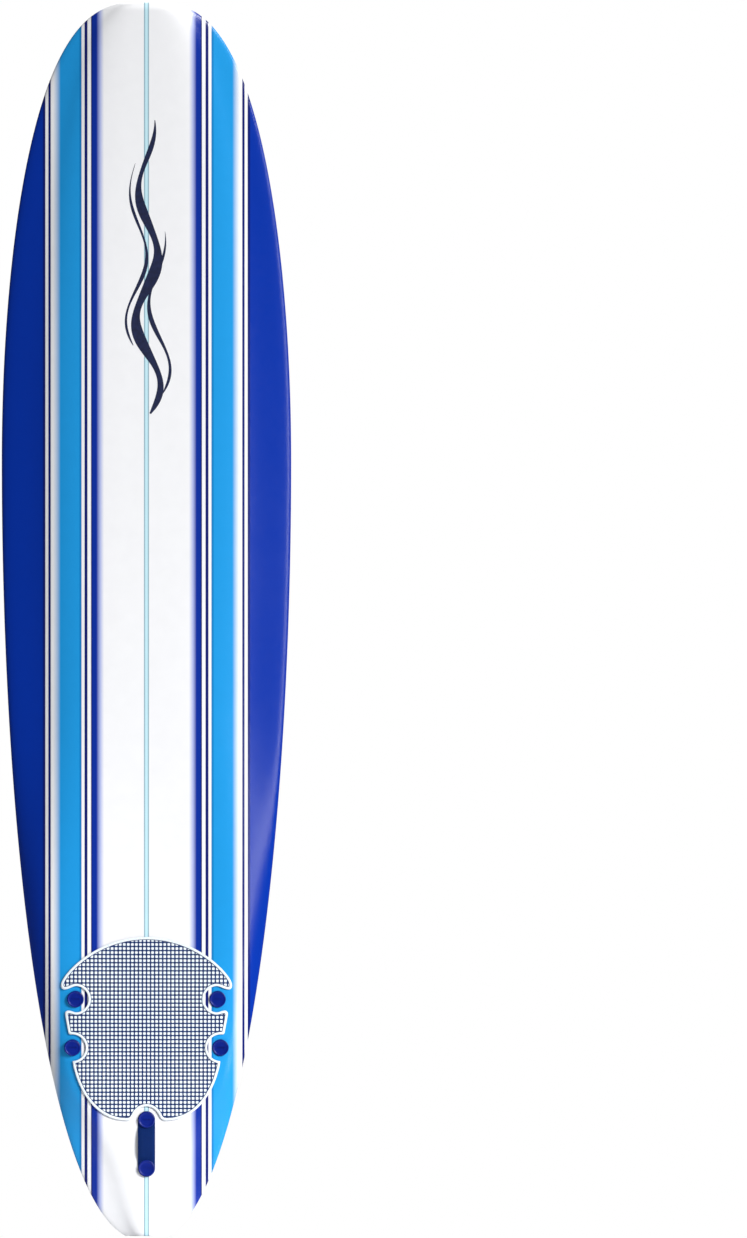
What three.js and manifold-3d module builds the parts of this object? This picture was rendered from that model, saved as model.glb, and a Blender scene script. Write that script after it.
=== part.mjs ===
// A foam longboard surfboard with three bolt-through fins.
// Units are millimetres. +Z runs from the tail to the nose, +X across the board to its right rail
// as a person facing the deck sees it, and -Y out of the deck, so the fins point along +Y.
// The origin is the centre of the flat tail end.

import * as THREE from "three";
import { mergeVertices } from "three/addons/utils/BufferGeometryUtils.js";
import Module from "manifold-3d";

const wasm = await Module();
wasm.setup();

const { clamp, degToRad, lerp, smoothstep } = THREE.MathUtils;

// The board's plan, rocker and thickness.
const LENGTH = 2438.4;
const HALF_WIDTH = 286;
const WIDEST = 1530;
const TAIL_SPAN = 1540;
const TAIL_FULLNESS = 0.445;
const NOSE_SPAN = LENGTH - WIDEST + 0.6;
const NOSE_FULLNESS = 0.348;
const BELLY_BACK = 1150;
const BELLY_FRONT = 1300;
const THICKNESS = 82.5;
const NOSE_ROCKER = 124;
const TAIL_ROCKER = 57.5;
const NOSE_THINNING = 52;
const TAIL_THINNING = 48;
const NOSE_EDGE = 16;
const NOSE_CREST = 14;
const TAIL_EDGE = 10;
const TAIL_FLAT = 3.4;

// How sharply the rocker and the thinning come in towards each end, as powers.
const NOSE_POWER = 2.3;
const TAIL_ROCKER_POWER = 2.5;
const TAIL_THINNING_POWER = 2.05;

// The cross-section: the widest point's height as a share of the thickness, and how far the
// bottom of the rail reaches in from the edge.
const APEX = 0.37;
const RAIL_REACH = { tail: 26, middle: 46, nose: 17 };
const MOST_REACH = 0.35;

// The deck's crown is domed, flatter where the fins are bolted on and rounder at the tail's end:
// share of the half-width that it covers, its drop there as a share of the thickness, its power.
const MAIN_CROWN = { cover: 0.703, drop: 0.253, power: 4 };
const TAIL_CROWN = { cover: 0.82, drop: 0.12, power: 8 };
const END_CROWN = { cover: 0.5, drop: 0.2, power: 2.6 };
const END_CROWN_FROM = 90;
const END_CROWN_TO = 330;

// Skins, core and stringers.
const GAP = 0.3;
const DECK_SKIN = 5;
const BOTTOM_SKIN = 2;
const SEAM = { tail: 6, middle: 15, nose: 2.6 };
const STRINGER = 5;
const OUTER_STRINGER_X = 95;
const CENTER_STRINGER_START = 270;

// Fins, their posts and the hardware that clamps them.
const FIN_PLATE = { length: 146, width: 35, thickness: 3.5 };
const FIN_LEAD = 51;
const BLADE = { span: 98, root: 9, tip: 4.5, edge: 1 };
const FOIL = { thickest: 0.3, rear: 0.65, rearShare: 0.8 };
const BOLT_SPACING = 96;
const SIDE_FIN = { x: 143.5, z: 420, toe: 3.4 };
const CENTER_FIN = { x: 0, z: 181.8, toe: 0 };
const POST = { radius: 7.5, length: 26, floor: 3, root: 2 };
const INSERT = { radius: 6, bore: 4.4, length: 20 };
const SLEEVE = { radius: 10, bore: 7.9, setback: 1.4 };
const BOLT = { radius: 4, head: 16.25, rise: 5.2, seat: 1.2, tip: 8 };
const HEAD = { rim: 2.4, dish: 1, wall: 0.8, chamfer: 0.6, round: 1 };
const SLOT = { length: 15, width: 2.6, depth: 1.6 };

// The leash strap and the traction pad.
const STRAP = { width: 34, thickness: 1.8, arch: 5, head: 3.4 };
const PAD_THICKNESS = 3.5;
const PAD_CUTOUT = 26.5;

// How finely the faceted surfaces are divided.
const SHAFT_SIDES = 12;
const HEAD_SIDES = 24;
const TAIL_STEPS = 13;
const NOSE_STEPS = 15;
const SKIN_DETAIL = { rail: 4, crown: 4 };
const CORE_DETAIL = { rail: 2, crown: 3 };
const STRAP_STEPS = 32;
const BLADE_STEPS = 6;
const OUTLINE_STEPS = 8;
const PAD_STEPS = 4;

// Beyond every part of the board, and a little beyond a surface that a tool cuts through.
const FAR = 400;
const CLEAR = 20;

const finish = (color, roughness, metalness = 0) => () =>
  new THREE.MeshStandardMaterial({ color, roughness, metalness });

const FINISHES = {
  deckFoam: finish(0x0f3fa8, 0.62),
  bottomPlastic: finish(0xe9e8ef, 0.32),
  padFoam: finish(0xf2f7fa, 0.8),
  webbing: finish(0x06356f, 0.75),
  bluePlastic: finish(0x062a94, 0.38),
  coreFoam: finish(0xf4f4f0, 0.9),
  plywood: finish(0xb98a55, 0.65),
  sleevePlastic: finish(0xd9dbe0, 0.5),
  brass: finish(0xb5954a, 0.3, 1),
};

// Solids.

function solidOf(geometry) {
  geometry.deleteAttribute("normal");
  geometry.deleteAttribute("uv");
  const merged = mergeVertices(geometry, 1e-4);
  return new wasm.Manifold(
    new wasm.Mesh({
      numProp: 3,
      vertProperties: new Float32Array(merged.attributes.position.array),
      triVerts: new Uint32Array(merged.index.array),
    })
  );
}

function geometryOf(solid) {
  const { vertProperties, triVerts } = solid.getMesh();
  const geometry = new THREE.BufferGeometry();
  geometry.setAttribute("position", new THREE.BufferAttribute(vertProperties, 3));
  geometry.setIndex(new THREE.BufferAttribute(triVerts, 1));
  geometry.computeVertexNormals();
  return geometry;
}

// A closed surface through rings of equal length, each counter-clockwise seen from +Z.
function loft(rings) {
  const count = rings[0].length;
  const positions = rings.flat().flatMap((p) => [p.x, p.y, p.z]);
  const faces = [];
  for (let r = 0; r + 1 < rings.length; r++) {
    for (let i = 0; i < count; i++) {
      const a = r * count + i;
      const b = r * count + ((i + 1) % count);
      faces.push(a, b, b + count, a, b + count, a + count);
    }
  }
  const last = (rings.length - 1) * count;
  for (const [a, b, c] of THREE.ShapeUtils.triangulateShape(rings[0], [])) {
    faces.push(a, c, b);
  }
  for (const [a, b, c] of THREE.ShapeUtils.triangulateShape(rings.at(-1), [])) {
    faces.push(last + a, last + b, last + c);
  }
  const geometry = new THREE.BufferGeometry();
  geometry.setAttribute("position", new THREE.Float32BufferAttribute(positions, 3));
  geometry.setIndex(faces);
  return geometry;
}

// A round bar along Y between two Y values.
function bar(radius, x, z, from, to, sides = SHAFT_SIDES) {
  const length = Math.abs(to - from);
  return solidOf(
    new THREE.CylinderGeometry(radius, radius, length, sides).translate(x, (from + to) / 2, z)
  );
}

function box(low, high) {
  const size = new THREE.Vector3().subVectors(high, low);
  const middle = new THREE.Vector3().addVectors(low, high).multiplyScalar(0.5);
  return solidOf(
    new THREE.BoxGeometry(size.x, size.y, size.z).translate(middle.x, middle.y, middle.z)
  );
}

// A prism along Y over an outline in X and Z.
function prism(outline, from, to) {
  const geometry = new THREE.ExtrudeGeometry(new THREE.Shape(outline), {
    depth: to - from,
    bevelEnabled: false,
  });
  // The shape's own Y becomes Z, and its depth runs along -Y from `to` down to `from`.
  return solidOf(geometry.rotateX(Math.PI / 2).translate(0, to, 0));
}

// The board's form.

const tailward = (z) => clamp((BELLY_BACK - z) / BELLY_BACK, 0, 1);
const noseward = (z) => clamp((z - BELLY_FRONT) / (LENGTH - BELLY_FRONT), 0, 1);
const tailness = (z) => 1 - smoothstep(z, 550, 1100);
const noseness = (z) => smoothstep(z, BELLY_FRONT, 1950);

const along = (values, z) =>
  lerp(lerp(values.middle, values.tail, tailness(z)), values.nose, noseness(z));

function halfWidth(z) {
  const [span, power] = z < WIDEST ? [TAIL_SPAN, TAIL_FULLNESS] : [NOSE_SPAN, NOSE_FULLNESS];
  return HALF_WIDTH * (1 - ((z - WIDEST) / span) ** 2) ** power;
}

// Share of the thickness left where the nose and tail edges round over.
function edgeShare(z) {
  const round = (distance, radius) =>
    distance < radius ? Math.sqrt(1 - (1 - distance / radius) ** 2) : 1;
  return round(LENGTH - z + 0.2, NOSE_EDGE) * round(z + TAIL_FLAT, TAIL_EDGE);
}

const rockerAt = (z) =>
  NOSE_ROCKER * noseward(z) ** NOSE_POWER + TAIL_ROCKER * tailward(z) ** TAIL_ROCKER_POWER;

const fullThickness = (z) =>
  THICKNESS -
  NOSE_THINNING * noseward(z) ** NOSE_POWER -
  TAIL_THINNING * tailward(z) ** TAIL_THINNING_POWER;

const thicknessAt = (z) => fullThickness(z) * edgeShare(z);

// Heights are measured from the belly's flat towards the deck.
const bottomAt = (z) => rockerAt(z) + APEX * (fullThickness(z) - thicknessAt(z));

function crownAt(z) {
  const endness = 1 - smoothstep(z, END_CROWN_FROM, END_CROWN_TO);
  const mix = (key) =>
    lerp(lerp(MAIN_CROWN[key], TAIL_CROWN[key], tailness(z)), END_CROWN[key], endness);
  return { cover: mix("cover"), drop: mix("drop"), power: mix("power") };
}

function deckAt(x, z) {
  const { cover, drop, power } = crownAt(z);
  const share = Math.abs(x) / halfWidth(z) / cover;
  return bottomAt(z) + thicknessAt(z) * (1 - drop * share ** power);
}

const BELLY_Y = bottomAt(0) + thicknessAt(0) / 2;
const atHeight = (height) => BELLY_Y - height;

// One side of a cross-section as shares of the half-width and the thickness, from the flat
// bottom round the rail and over the crown to the centre line.
function halfSection(z, width, { rail, crown }) {
  const { cover, drop, power } = crownAt(z);
  const reach = Math.min(along(RAIL_REACH, z) / width, MOST_REACH);
  const slope = (power * drop) / cover;
  const shoulder = 0.45 * (1 - cover);
  const lower = new THREE.CubicBezierCurve(
    new THREE.Vector2(1 - reach, 0),
    new THREE.Vector2(1 - 0.56 * reach, 0),
    new THREE.Vector2(1, 0.2),
    new THREE.Vector2(1, APEX)
  );
  const upper = new THREE.CubicBezierCurve(
    new THREE.Vector2(1, APEX),
    new THREE.Vector2(1, APEX + 0.11),
    new THREE.Vector2(cover + shoulder, 1 - drop - slope * shoulder),
    new THREE.Vector2(cover, 1 - drop)
  );
  const dome = [];
  for (let i = 1; i <= crown; i++) {
    const share = 1 - (i / crown) ** 1.4;
    dome.push(new THREE.Vector2(cover * share, 1 - drop * share ** power));
  }
  return [...lower.getPoints(rail), ...upper.getPoints(rail).slice(1), ...dome];
}

// The whole form, or the form inset from it on its sides and ends, its top and its bottom.
function form({ side = 0, top = 0, bottom = 0, rail, crown }) {
  const rings = stations(side).map((z) => {
    const width = halfWidth(z) - side;
    const thickness = thicknessAt(z) - top - bottom;
    const left = [];
    const right = [];
    for (const share of halfSection(z, width, { rail, crown })) {
      const y = atHeight(bottomAt(z) + bottom + thickness * share.y);
      left.push(new THREE.Vector3(-width * share.x, y, z));
      right.unshift(new THREE.Vector3(width * share.x, y, z));
    }
    return [...left, ...right.slice(1)];
  });
  return solidOf(loft(rings));
}

// Heights along the board where a ring is set, closer together towards both ends, with one at
// the crest of the upturned nose.
function stations(inset) {
  const low = inset;
  const high = LENGTH - inset;
  const list = [low, LENGTH - NOSE_CREST, high];
  for (let i = TAIL_STEPS - 1; i >= 0; i--) {
    list.push(BELLY_BACK * (1 - Math.sin((Math.PI / 2) * (i / TAIL_STEPS))));
  }
  for (let i = 0; i < NOSE_STEPS; i++) {
    list.push(BELLY_FRONT + (LENGTH - BELLY_FRONT) * Math.sin((Math.PI / 2) * (i / NOSE_STEPS)));
  }
  list.sort((a, b) => a - b);
  return list.filter((z, i) => i === 0 || z === high || (z > low + 1 && z < high - 1));
}

// Everything on the deck side of the weld line, or on the bottom side of it.
function besideSeam(deckSide) {
  const list = stations(0);
  list[0] -= GAP;
  list[list.length - 1] += GAP;
  const rings = list.map((z) => {
    const inside = clamp(z, 0, LENGTH);
    const seam = atHeight(bottomAt(inside) + along(SEAM, inside) + (deckSide ? GAP / 2 : -GAP / 2));
    const [low, high] = deckSide ? [-FAR, seam] : [seam, FAR];
    return [
      new THREE.Vector3(-FAR, low, z),
      new THREE.Vector3(FAR, low, z),
      new THREE.Vector3(FAR, high, z),
      new THREE.Vector3(-FAR, high, z),
    ];
  });
  return solidOf(loft(rings));
}

// Where the bolts go.

const FINS = [
  { name: "left", ...SIDE_FIN, x: -SIDE_FIN.x, toe: SIDE_FIN.toe },
  { name: "right", ...SIDE_FIN, toe: -SIDE_FIN.toe },
  { name: "center", ...CENTER_FIN },
];

const BOLTS = FINS.flatMap((fin) =>
  [
    ["front", 1],
    ["rear", -1],
  ].map(([end, way]) => {
    const x = fin.x + way * (BOLT_SPACING / 2) * Math.sin(degToRad(fin.toe));
    const z = fin.z + way * (BOLT_SPACING / 2) * Math.cos(degToRad(fin.toe));
    const strapped = fin.name === "center";
    // The deck rises towards the tail, so the strap lies flat on its higher end.
    const deck = deckAt(x, strapped ? z - STRAP.width / 2 : z);
    return {
      name: fin.name + "_" + end,
      fin: fin.name,
      x,
      z,
      bottom: bottomAt(z),
      // The foam is cut flat under a side bolt; a centre bolt sits on the strap.
      seat: strapped ? deck : deck - BOLT.seat,
      under: strapped ? deck + 2 * GAP + STRAP.thickness : deck - BOLT.seat + GAP,
      head: strapped ? STRAP.head : BOLT.rise,
    };
  })
);

function boltHoles(radius) {
  return BOLTS.map((b) =>
    bar(radius, b.x, b.z, atHeight(b.bottom - CLEAR), atHeight(b.under + CLEAR))
  );
}

// The board's pieces.

const OUTER = form(SKIN_DETAIL);
const CAVITY = form({ side: DECK_SKIN, top: DECK_SKIN, bottom: BOTTOM_SKIN, ...CORE_DETAIL });
const CORE = form({
  side: DECK_SKIN + GAP,
  top: DECK_SKIN + GAP,
  bottom: BOTTOM_SKIN + GAP,
  ...CORE_DETAIL,
});

function cutAll(solid, cutters) {
  return cutters.reduce((left, cutter) => left.subtract(cutter), solid);
}

function deckSkin() {
  const seats = BOLTS.filter((b) => b.fin !== "center").map((b) =>
    bar(BOLT.head + 2 * GAP, b.x, b.z, atHeight(b.seat + CLEAR), atHeight(b.seat), HEAD_SIDES)
  );
  const skin = OUTER.intersect(besideSeam(true)).subtract(CAVITY);
  return cutAll(skin, [...seats, ...boltHoles(SLEEVE.radius + GAP)]);
}

function bottomSkin() {
  const skin = OUTER.intersect(besideSeam(false)).subtract(CAVITY);
  return cutAll(skin, boltHoles(SLEEVE.radius + GAP));
}

// A slice of the core between two X values and two Z values.
function coreSlice(x0, x1, z0 = 0, z1 = LENGTH) {
  return CORE.intersect(box(new THREE.Vector3(x0, -FAR, z0), new THREE.Vector3(x1, FAR, z1)));
}

function coreStrips() {
  const half = STRINGER / 2 + GAP;
  const holes = boltHoles(SLEEVE.radius + GAP);
  const outerEdge = OUTER_STRINGER_X + half;
  const innerEdge = OUTER_STRINGER_X - half;
  const strips = {};
  for (const [side, way] of [
    ["left", -1],
    ["right", 1],
  ]) {
    const slice = (near, far, z0, z1) => {
      const [x0, x1] = way > 0 ? [near, far] : [-far, -near];
      return coreSlice(x0, x1, z0, z1);
    };
    // Behind the centre stringer the two inner strips all but meet.
    const inner = slice(GAP / 2, innerEdge, 0, CENTER_STRINGER_START - GAP).add(
      slice(half, innerEdge, CENTER_STRINGER_START - GAP, LENGTH)
    );
    strips["core_" + side + "_inner"] = cutAll(inner, holes);
    strips["core_" + side + "_outer"] = cutAll(slice(outerEdge, FAR, 0, LENGTH), holes);
  }
  return strips;
}

function stringers() {
  const plank = (x, start) => coreSlice(x - STRINGER / 2, x + STRINGER / 2, start);
  return {
    stringer_left: plank(-OUTER_STRINGER_X),
    stringer_center: plank(0, CENTER_STRINGER_START),
    stringer_right: plank(OUTER_STRINGER_X),
  };
}

// A tube about Y with flat ends.
function tube(outer, bore, x, z, from, to) {
  const wall = [
    new THREE.Vector2(bore, from),
    new THREE.Vector2(outer, from),
    new THREE.Vector2(outer, to),
    new THREE.Vector2(bore, to),
    new THREE.Vector2(bore, from),
  ];
  return solidOf(new THREE.LatheGeometry(wall, SHAFT_SIDES).translate(x, 0, z));
}

function sleeve(b) {
  const deckEnd = atHeight(b.seat - (b.fin === "center" ? GAP : 0));
  const bottomEnd = atHeight(b.bottom + SLEEVE.setback);
  return tube(SLEEVE.radius, SLEEVE.bore, b.x, b.z, deckEnd, bottomEnd);
}

// A bolt with a wide round head, a raised rim round it and a slot across it.
function bolt(b) {
  const tip = b.bottom + BOLT.tip;
  const top = b.under + b.head;
  const profile = [
    [0, tip],
    [BOLT.radius - HEAD.round, tip],
    [BOLT.radius, tip + HEAD.round],
    [BOLT.radius, b.under],
    [BOLT.head - HEAD.chamfer, b.under],
    [BOLT.head, b.under + HEAD.chamfer],
    [BOLT.head, top - HEAD.round],
    [BOLT.head - HEAD.round, top],
    [BOLT.head - HEAD.rim, top],
    [BOLT.head - HEAD.rim - HEAD.wall, top - HEAD.dish],
    [0, top - HEAD.dish],
  ].map(([radius, height]) => new THREE.Vector2(radius, -height));
  const head = new THREE.LatheGeometry(profile.reverse(), HEAD_SIDES);
  const floor = atHeight(top - HEAD.dish);
  const slot = box(
    new THREE.Vector3(b.x - SLOT.length / 2, floor - 2 * HEAD.dish, b.z - SLOT.width / 2),
    new THREE.Vector3(b.x + SLOT.length / 2, floor + SLOT.depth, b.z + SLOT.width / 2)
  );
  return solidOf(head.translate(b.x, BELLY_Y, b.z)).subtract(slot);
}

function insert(b) {
  const deckEnd = atHeight(b.bottom + POST.length - 1);
  return tube(INSERT.radius, INSERT.bore, b.x, b.z, deckEnd, deckEnd + INSERT.length);
}

// A curve through cubic Bezier pieces, given as the span and the chord of each of its points.
function sweepCurve(pieces, steps) {
  const points = [];
  for (const piece of pieces) {
    const [a, b, c, d] = piece.map(([span, chord]) => new THREE.Vector2(span, chord));
    points.push(...new THREE.CubicBezierCurve(a, b, c, d).getPoints(steps).slice(points.length ? 1 : 0));
  }
  return points;
}

// A fin's blade as foil sections from the root to the tip: chord runs along X from the leading
// edge, thickness along Y and span along Z.
function bladeGeometry() {
  const leading = sweepCurve(
    [
      [[-2, -1], [30, 14], [76, 42], [93, 84]],
      [[93, 84], [98, 98], [101, 124], [92, 135]],
    ],
    BLADE_STEPS
  );
  const trailing = sweepCurve(
    [
      [[-2, 105], [28, 91], [54, 101], [66, 119]],
      [[66, 119], [73, 130], [80, 144], [89, 138]],
    ],
    BLADE_STEPS
  );
  const rings = leading.map((front, i) => {
    const back = trailing[i];
    const thick = lerp(BLADE.root, BLADE.tip, clamp(front.x / BLADE.span, 0, 1)) / 2;
    const at = (share, half) => {
      const point = new THREE.Vector2().lerpVectors(front, back, share);
      return new THREE.Vector3(point.y, half, point.x);
    };
    const edge = Math.min(BLADE.edge, thick);
    return [
      at(0, -edge),
      at(FOIL.thickest, -thick),
      at(FOIL.rear, -FOIL.rearShare * thick),
      at(1, -edge),
      at(1, edge),
      at(FOIL.rear, FOIL.rearShare * thick),
      at(FOIL.thickest, thick),
      at(0, edge),
    ];
  });
  return loft(rings);
}

function stadium(length, width) {
  const radius = width / 2;
  const straight = length / 2 - radius;
  const outline = new THREE.Shape();
  outline.absarc(0, straight, radius, 0, Math.PI, false);
  outline.absarc(0, -straight, radius, Math.PI, 2 * Math.PI, false);
  return outline;
}

// The slope of the bottom at z, as an angle about X.
const bottomTilt = (z) => -Math.atan((rockerAt(z - 1) - rockerAt(z + 1)) / 2);

function fin({ name, x, z, toe }) {
  // From the blade's frame to the fin's own, where +Y stands out of the board and +Z leads.
  const stand = new THREE.Matrix4().makeBasis(
    new THREE.Vector3(0, 0, -1),
    new THREE.Vector3(-1, 0, 0),
    new THREE.Vector3(0, 1, 0)
  );
  const blade = bladeGeometry().applyMatrix4(stand);
  blade.translate(0, FIN_PLATE.thickness, FIN_LEAD);
  const outline = stadium(FIN_PLATE.length, FIN_PLATE.width).getPoints(OUTLINE_STEPS);
  const place = new THREE.Matrix4()
    .makeTranslation(x, atHeight(bottomAt(z) - GAP), z)
    .multiply(new THREE.Matrix4().makeRotationX(bottomTilt(z)))
    .multiply(new THREE.Matrix4().makeRotationY(degToRad(toe)));
  const plate = new THREE.ExtrudeGeometry(new THREE.Shape(outline), {
    depth: FIN_PLATE.thickness,
    bevelEnabled: false,
  });
  plate.rotateX(Math.PI / 2).translate(0, FIN_PLATE.thickness, 0);
  let whole = solidOf(blade.applyMatrix4(place)).add(solidOf(plate.applyMatrix4(place)));
  for (const b of BOLTS.filter((each) => each.fin === name)) {
    const end = atHeight(b.bottom + POST.length);
    whole = whole.add(bar(POST.radius, b.x, b.z, end, atHeight(b.bottom - POST.root)));
    const bottomOfBore = atHeight(b.bottom + POST.floor);
    whole = whole.subtract(bar(INSERT.radius + GAP, b.x, b.z, end - 1, bottomOfBore));
  }
  return whole;
}

// A strap under the two centre bolts, arched between them so that a leash cord passes under it.
function leashStrap() {
  const middle = CENTER_FIN.z;
  const free = BOLT_SPACING / 2 - STRAP.width / 2;
  const half = BOLT_SPACING / 2 + STRAP.width / 2;
  const [front, rear] = BOLTS.filter((b) => b.fin === "center");
  const steps = [];
  for (let i = 0; i <= STRAP_STEPS; i++) {
    const d = lerp(-half, half, i / STRAP_STEPS);
    // Flat under both bolt heads, with the arch over the free length between them.
    const across = clamp(d / free, -1, 1);
    const deck = lerp(rear.seat, front.seat, (across + 1) / 2);
    const arch = STRAP.arch * (1 - Math.abs(across) ** 3);
    steps.push(new THREE.Vector2(middle + d, deck + GAP + arch));
  }
  const top = steps.map((p) => new THREE.Vector2(p.x, p.y + STRAP.thickness)).reverse();
  const strip = new THREE.ExtrudeGeometry(new THREE.Shape([...steps, ...top]), {
    depth: STRAP.width,
    bevelEnabled: false,
  });
  const across = new THREE.Matrix4().makeBasis(
    new THREE.Vector3(0, 0, 1),
    new THREE.Vector3(0, -1, 0),
    new THREE.Vector3(1, 0, 0)
  );
  strip.applyMatrix4(across).translate(-STRAP.width / 2, BELLY_Y, 0);
  const ends = stadium(2 * half, STRAP.width)
    .getPoints(OUTLINE_STEPS)
    .map((p) => new THREE.Vector2(p.x, p.y + middle));
  const holes = [front, rear].map((b) => bar(BOLT.radius + GAP, b.x, b.z, -FAR, 0));
  return cutAll(solidOf(strip).intersect(prism(ends, -FAR, 0)), holes);
}

// The right half of the pad's outline from its front tip to its rear notch.
function padEdge() {
  const [front, rear] = BOLTS.filter((b) => b.fin === "right");
  const notch = BOLTS.find((b) => b.name === "center_front");
  const edge = new THREE.Path();
  edge.moveTo(0, 591);
  edge.bezierCurveTo(62, 591, 115, 563, 149, 528);
  edge.bezierCurveTo(163, 513, 173, 499, 168, 490);
  edge.bezierCurveTo(163, 483, 152, 490, front.x, front.z + PAD_CUTOUT);
  edge.absarc(front.x, front.z, PAD_CUTOUT, Math.PI / 2, Math.PI * 1.5, false);
  edge.bezierCurveTo(150, 446, 161, 449, 161, 438);
  edge.lineTo(155, 405);
  edge.bezierCurveTo(154, 397, 151, 398, rear.x, rear.z + PAD_CUTOUT);
  edge.absarc(rear.x, rear.z, PAD_CUTOUT, Math.PI / 2, Math.PI * 1.5, false);
  edge.bezierCurveTo(145, 341, 145, 334, 142, 326);
  edge.bezierCurveTo(131, 284, 100, 229, 40, 228);
  edge.bezierCurveTo(33, 228, 29, 230, 26, 236);
  edge.absarc(0, notch.z, PAD_CUTOUT, Math.atan2(236 - notch.z, 26), Math.PI / 2, false);
  return edge.getPoints(PAD_STEPS);
}

function tractionPad() {
  const right = padEdge();
  const left = right.slice(1, -1).reverse();
  const outline = [...right, ...left.map((p) => new THREE.Vector2(-p.x, p.y))];
  const over = form({ top: -GAP - PAD_THICKNESS, ...SKIN_DETAIL });
  const under = form({ top: -GAP, ...SKIN_DETAIL });
  const slab = prism(outline, -FAR, 0);
  return slab.intersect(over).subtract(under);
}

// The assembly.

const board = new THREE.Group();

function addPiece(name, solid, material) {
  const piece = new THREE.Mesh(geometryOf(solid), material());
  piece.name = name;
  board.add(piece);
}

addPiece("deck_skin", deckSkin(), FINISHES.deckFoam);
addPiece("bottom_skin", bottomSkin(), FINISHES.bottomPlastic);
addPiece("traction_pad", tractionPad(), FINISHES.padFoam);
addPiece("leash_strap", leashStrap(), FINISHES.webbing);
for (const [name, solid] of Object.entries(coreStrips())) {
  addPiece(name, solid, FINISHES.coreFoam);
}
for (const [name, solid] of Object.entries(stringers())) {
  addPiece(name, solid, FINISHES.plywood);
}
for (const each of FINS) {
  addPiece(each.name + "_fin", fin(each), FINISHES.bluePlastic);
}
for (const b of BOLTS) {
  addPiece(b.name + "_bolt", bolt(b), FINISHES.bluePlastic);
  addPiece(b.name + "_sleeve", sleeve(b), FINISHES.sleevePlastic);
  addPiece(b.name + "_insert", insert(b), FINISHES.brass);
}

export default board;
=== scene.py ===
import math

import bmesh
import bpy
import numpy as np
from mathutils import Matrix, Vector


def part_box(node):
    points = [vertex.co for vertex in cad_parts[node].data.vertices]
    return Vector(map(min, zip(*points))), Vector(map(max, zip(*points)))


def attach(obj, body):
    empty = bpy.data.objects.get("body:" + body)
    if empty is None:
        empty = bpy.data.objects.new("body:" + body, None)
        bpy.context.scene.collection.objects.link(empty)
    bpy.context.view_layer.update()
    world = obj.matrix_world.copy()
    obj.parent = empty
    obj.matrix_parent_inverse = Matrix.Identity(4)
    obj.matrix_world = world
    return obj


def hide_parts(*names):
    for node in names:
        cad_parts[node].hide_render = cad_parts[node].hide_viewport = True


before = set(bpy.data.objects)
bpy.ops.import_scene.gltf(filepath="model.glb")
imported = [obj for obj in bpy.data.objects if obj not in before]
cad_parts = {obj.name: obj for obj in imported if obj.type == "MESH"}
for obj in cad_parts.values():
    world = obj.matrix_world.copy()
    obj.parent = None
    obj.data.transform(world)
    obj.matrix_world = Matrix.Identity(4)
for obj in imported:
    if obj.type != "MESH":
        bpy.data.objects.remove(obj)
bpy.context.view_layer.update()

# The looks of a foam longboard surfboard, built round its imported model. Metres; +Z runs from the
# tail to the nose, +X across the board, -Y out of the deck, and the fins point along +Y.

DECK_LOW, DECK_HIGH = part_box("deck_skin")

# The board's plan, rocker and thickness.
LENGTH = DECK_HIGH.z - DECK_LOW.z
HALF_WIDTH = (DECK_HIGH.x - DECK_LOW.x) / 2
WIDEST = 1.530
TAIL_SPAN = 1.540
TAIL_FULLNESS = 0.445
NOSE_SPAN = LENGTH - WIDEST + 0.0006
NOSE_FULLNESS = 0.348
BELLY_BACK = 1.150
BELLY_FRONT = 1.300
THICKNESS = 0.0825
NOSE_ROCKER = 0.124
TAIL_ROCKER = 0.0575
NOSE_THINNING = 0.052
TAIL_THINNING = 0.048
NOSE_EDGE = 0.016
TAIL_EDGE = 0.010
TAIL_FLAT = 0.0034
NOSE_FLAT = 0.0002

# How sharply the rocker and the thinning come in towards each end, as powers, and where the
# tail's and the nose's cross-sections blend into the middle's.
NOSE_POWER = 2.3
TAIL_ROCKER_POWER = 2.5
TAIL_THINNING_POWER = 2.05
TAIL_BLEND = (0.550, 1.100)
NOSE_BLEND_END = 1.950

# The cross-section.
APEX = 0.37
RAIL_REACH = {"tail": 0.026, "middle": 0.046, "nose": 0.017}
MOST_REACH = 0.35
MAIN_CROWN = {"cover": 0.703, "drop": 0.253, "power": 4}
TAIL_CROWN = {"cover": 0.82, "drop": 0.12, "power": 8}
END_CROWN = {"cover": 0.5, "drop": 0.2, "power": 2.6}
END_CROWN_FROM = 0.090
END_CROWN_TO = 0.330

# Skins and the weld between them.
GAP = 0.0003
DECK_SKIN = 0.005
BOTTOM_SKIN = 0.002
SEAM = {"tail": 0.006, "middle": 0.015, "nose": 0.0026}
MOST_SEAM = 0.3
WELD_WIDTH = 0.0044
WELD_HEIGHT = 0.0007
WELD_SIDES = 12

# Fins and their hardware.
FIN_PLATE = {"length": 0.146, "width": 0.035, "thickness": 0.0035}
FIN_LEAD = 0.051
BLADE_ROOT = 0.009
BLADE_TIP = 0.0045
BLADE_SPAN = 0.098
# The finely curved blade stays within the faceted one that it stands for.
SPAN_KEPT = 0.999
BOLT_SPACING = 0.096
SIDE_FIN = {"x": 0.1435, "z": 0.420, "toe": 3.4}
CENTER_FIN = {"x": 0.0, "z": 0.1818, "toe": 0.0}
POST = {"radius": 0.0075, "length": 0.026, "floor": 0.003, "root": 0.002}
INSERT = {"radius": 0.006, "bore": 0.0044, "length": 0.020}
SLEEVE = {"radius": 0.010, "bore": 0.0079, "setback": 0.0014}
BOLT = {"radius": 0.004, "head": 0.01625, "rise": 0.0052, "seat": 0.0012, "tip": 0.008}
SLOT = {"length": 0.015, "width": 0.0026, "depth": 0.0016}
THREAD = {"pitch": 0.0016, "depth": 0.00055, "length": 0.016}

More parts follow.
